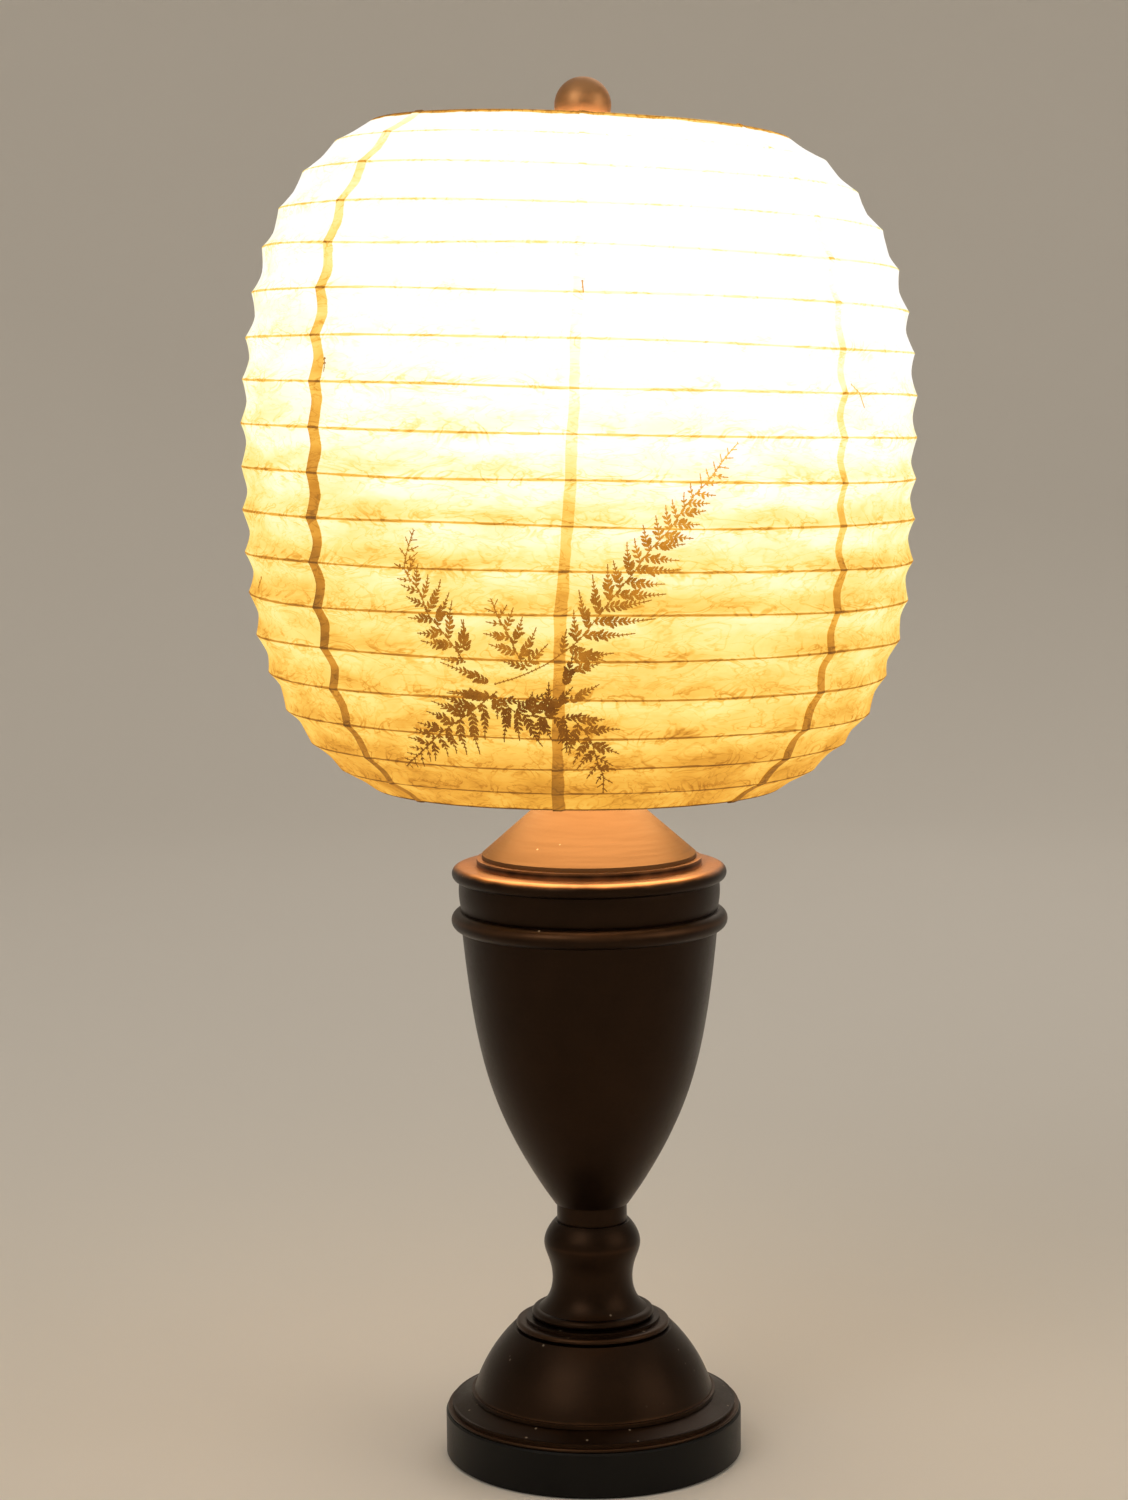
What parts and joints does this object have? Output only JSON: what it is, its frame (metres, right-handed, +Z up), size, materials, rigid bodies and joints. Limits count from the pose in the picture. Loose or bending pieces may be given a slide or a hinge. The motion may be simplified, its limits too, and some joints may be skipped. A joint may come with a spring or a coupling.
{
  "type": "table lamp with a paper lantern shade",
  "caption": "Table lamp: round ribbed paper lantern with pressed fern as shade, hung by its spider on a harp, over a turned dark bronze urn with copper cone, stepped dome foot and black plinth.",
  "frame": {"origin": "centre of the felt's underside, on the lamp's axis", "axes": "+Z up along the threaded rod; -Y towards the front, where the switch knob is; the cord inlet is at +Y"},
  "size_m": [0.3, 0.3, 0.6305],
  "materials": {
    "felt": "pressed felt",
    "black_plinth": "black satin lacquer",
    "cast_iron": "as cast",
    "aged_bronze": "dark oil-rubbed bronze, copper showing on the edges",
    "brushed_copper": "brushed copper",
    "copper_ball": "satin antique copper",
    "brass": "plain brass",
    "zinc_steel": "zinc plated",
    "sleeve_steel": "nickel plated",
    "brown_wire": "brown painted wire",
    "split_bamboo": "brown split bamboo",
    "fern_paper": "handmade paper with pressed fern",
    "black_rubber": "matte",
    "black_plastic": "moulded phenolic",
    "liner_card": "fibre liner",
    "screw_shell": "rolled thread",
    "frosted_glass": "frosted",
    "tungsten": "wire"
  },
  "bodies": {
    "lamp": {"base_felt": "felt", "base_plinth": "black_plinth", "base_weight": "cast_iron", "base_washer": "zinc_steel", "lock_nuts": "zinc_steel", "threaded_rod": "brass", "cord_bushing": "black_rubber", "base_dome": "aged_bronze", "turned_waist": "aged_bronze", "urn_body": "aged_bronze", "cone_seat_ring": "aged_bronze", "cone_cap": "brushed_copper", "riser_tube": "brass", "harp_saddle": "zinc_steel", "harp_frame": "zinc_steel", "harp_stud": "zinc_steel", "socket_cap": "brass", "socket_liner": "liner_card", "socket_shell": "brass", "socket_interior": "black_plastic", "socket_screw_shell": "screw_shell", "socket_contact": "brass"},
    "sleeve_left": {"harp_sleeve_left": "sleeve_steel"},
    "sleeve_right": {"harp_sleeve_right": "sleeve_steel"},
    "switch": {"switch_shaft": "brass", "switch_knob": "black_plastic"},
    "bulb_carrier": {"bulb_contact": "brass"},
    "bulb": {"bulb_base": "screw_shell", "bulb_glass": "frosted_glass", "bulb_filament": "tungsten"},
    "finial_carrier": {"finial_insert": "brass"},
    "finial": {"finial_ball": "copper_ball"},
    "shade": {"shade_top_ring": "brown_wire", "shade_spider": "brown_wire", "paper_gore_1": "fern_paper", "paper_gore_2": "fern_paper", "paper_gore_3": "fern_paper", "paper_gore_4": "fern_paper", "paper_gore_5": "fern_paper", "paper_gore_6": "fern_paper", "paper_gore_7": "fern_paper", "paper_gore_8": "fern_paper"},
    "shade_hem": {"shade_bottom_ring": "brown_wire"},
    "rib_01": {"rib_01": "split_bamboo"},
    "rib_02": {"rib_02": "split_bamboo"},
    "rib_03": {"rib_03": "split_bamboo"},
    "rib_04": {"rib_04": "split_bamboo"},
    "rib_05": {"rib_05": "split_bamboo"},
    "rib_06": {"rib_06": "split_bamboo"},
    "rib_07": {"rib_07": "split_bamboo"},
    "rib_08": {"rib_08": "split_bamboo"},
    "rib_09": {"rib_09": "split_bamboo"},
    "rib_10": {"rib_10": "split_bamboo"},
    "rib_11": {"rib_11": "split_bamboo"},
    "rib_12": {"rib_12": "split_bamboo"},
    "rib_13": {"rib_13": "split_bamboo"},
    "rib_14": {"rib_14": "split_bamboo"},
    "rib_15": {"rib_15": "split_bamboo"},
    "rib_16": {"rib_16": "split_bamboo"},
    "rib_17": {"rib_17": "split_bamboo"}
  },
  "joints": [
    {"name": "shade_turn", "type": "hinge", "parent": "lamp", "child": "shade", "pos_m": [0, 0, 0.60488], "axis": [0, 0, 1], "continuous": true},
    {"name": "shade_collapse", "type": "slide", "parent": "shade", "child": "shade_hem", "axis": [0, 0, 1], "range_m": [0, 0.20396], "deforming": ["paper_gore_1", "paper_gore_2", "paper_gore_3", "paper_gore_4", "paper_gore_5", "paper_gore_6", "paper_gore_7", "paper_gore_8"]},
    {"name": "finial_rise", "type": "slide", "parent": "lamp", "child": "finial_carrier", "axis": [0, 0, 1], "range_m": [0, 0.00942]},
    {"name": "finial_turn", "type": "hinge", "parent": "finial_carrier", "child": "finial", "pos_m": [0, 0, 0.60488], "axis": [0, 0, 1], "range_deg": [0, 3600]},
    {"name": "bulb_rise", "type": "slide", "parent": "lamp", "child": "bulb_carrier", "axis": [0, 0, 1], "range_m": [0, 0.02178]},
    {"name": "bulb_turn", "type": "hinge", "parent": "bulb_carrier", "child": "bulb", "pos_m": [0, 0, 0.5232], "axis": [0, 0, 1], "range_deg": [0, 2160]},
    {"name": "switch_turn", "type": "hinge", "parent": "lamp", "child": "switch", "pos_m": [0, -0.0205, 0.4347], "axis": [0, -1, 0], "continuous": true},
    {"name": "sleeve_left_lift", "type": "slide", "parent": "lamp", "child": "sleeve_left", "axis": [0, 0, 1], "range_m": [0, 0.012]},
    {"name": "sleeve_right_lift", "type": "slide", "parent": "lamp", "child": "sleeve_right", "axis": [0, 0, 1], "range_m": [0, 0.012]},
    {"name": "rib_01_lift", "type": "slide", "parent": "shade", "child": "rib_01", "axis": [0, 0, 1], "range_m": [0, 0.00786]},
    {"name": "rib_02_lift", "type": "slide", "parent": "shade", "child": "rib_02", "axis": [0, 0, 1], "range_m": [0, 0.01712]},
    {"name": "rib_03_lift", "type": "slide", "parent": "shade", "child": "rib_03", "axis": [0, 0, 1], "range_m": [0, 0.02821]},
    {"name": "rib_04_lift", "type": "slide", "parent": "shade", "child": "rib_04", "axis": [0, 0, 1], "range_m": [0, 0.04049]},
    {"name": "rib_05_lift", "type": "slide", "parent": "shade", "child": "rib_05", "axis": [0, 0, 1], "range_m": [0, 0.05338]},
    {"name": "rib_06_lift", "type": "slide", "parent": "shade", "child": "rib_06", "axis": [0, 0, 1], "range_m": [0, 0.06651]},
    {"name": "rib_07_lift", "type": "slide", "parent": "shade", "child": "rib_07", "axis": [0, 0, 1], "range_m": [0, 0.0797]},
    {"name": "rib_08_lift", "type": "slide", "parent": "shade", "child": "rib_08", "axis": [0, 0, 1], "range_m": [0, 0.09285]},
    {"name": "rib_09_lift", "type": "slide", "parent": "shade", "child": "rib_09", "axis": [0, 0, 1], "range_m": [0, 0.10592]},
    {"name": "rib_10_lift", "type": "slide", "parent": "shade", "child": "rib_10", "axis": [0, 0, 1], "range_m": [0, 0.11888]},
    {"name": "rib_11_lift", "type": "slide", "parent": "shade", "child": "rib_11", "axis": [0, 0, 1], "range_m": [0, 0.1317]},
    {"name": "rib_12_lift", "type": "slide", "parent": "shade", "child": "rib_12", "axis": [0, 0, 1], "range_m": [0, 0.14435]},
    {"name": "rib_13_lift", "type": "slide", "parent": "shade", "child": "rib_13", "axis": [0, 0, 1], "range_m": [0, 0.15673]},
    {"name": "rib_14_lift", "type": "slide", "parent": "shade", "child": "rib_14", "axis": [0, 0, 1], "range_m": [0, 0.16865]},
    {"name": "rib_15_lift", "type": "slide", "parent": "shade", "child": "rib_15", "axis": [0, 0, 1], "range_m": [0, 0.1798]},
    {"name": "rib_16_lift", "type": "slide", "parent": "shade", "child": "rib_16", "axis": [0, 0, 1], "range_m": [0, 0.18971]},
    {"name": "rib_17_lift", "type": "slide", "parent": "shade", "child": "rib_17", "axis": [0, 0, 1], "range_m": [0, 0.19795]}
  ],
  "couplings": [
    {"joint": "finial_rise", "follows": "finial_turn", "m_per_rad": 0.00014972},
    {"joint": "bulb_rise", "follows": "bulb_turn", "m_per_rad": 0.00057751},
    {"joint": "rib_01_lift", "follows": "shade_collapse", "ratio": 0.038505},
    {"joint": "rib_02_lift", "follows": "shade_collapse", "ratio": 0.083882},
    {"joint": "rib_03_lift", "follows": "shade_collapse", "ratio": 0.13827},
    {"joint": "rib_04_lift", "follows": "shade_collapse", "ratio": 0.19846},
    {"joint": "rib_05_lift", "follows": "shade_collapse", "ratio": 0.26165},
    {"joint": "rib_06_lift", "follows": "shade_collapse", "ratio": 0.32605},
    {"joint": "rib_07_lift", "follows": "shade_collapse", "ratio": 0.3907},
    {"joint": "rib_08_lift", "follows": "shade_collapse", "ratio": 0.45516},
    {"joint": "rib_09_lift", "follows": "shade_collapse", "ratio": 0.51926},
    {"joint": "rib_10_lift", "follows": "shade_collapse", "ratio": 0.5828},
    {"joint": "rib_11_lift", "follows": "shade_collapse", "ratio": 0.64567},
    {"joint": "rib_12_lift", "follows": "shade_collapse", "ratio": 0.70769},
    {"joint": "rib_13_lift", "follows": "shade_collapse", "ratio": 0.76839},
    {"joint": "rib_14_lift", "follows": "shade_collapse", "ratio": 0.82683},
    {"joint": "rib_15_lift", "follows": "shade_collapse", "ratio": 0.88146},
    {"joint": "rib_16_lift", "follows": "shade_collapse", "ratio": 0.93009},
    {"joint": "rib_17_lift", "follows": "shade_collapse", "ratio": 0.97045}
  ]
}
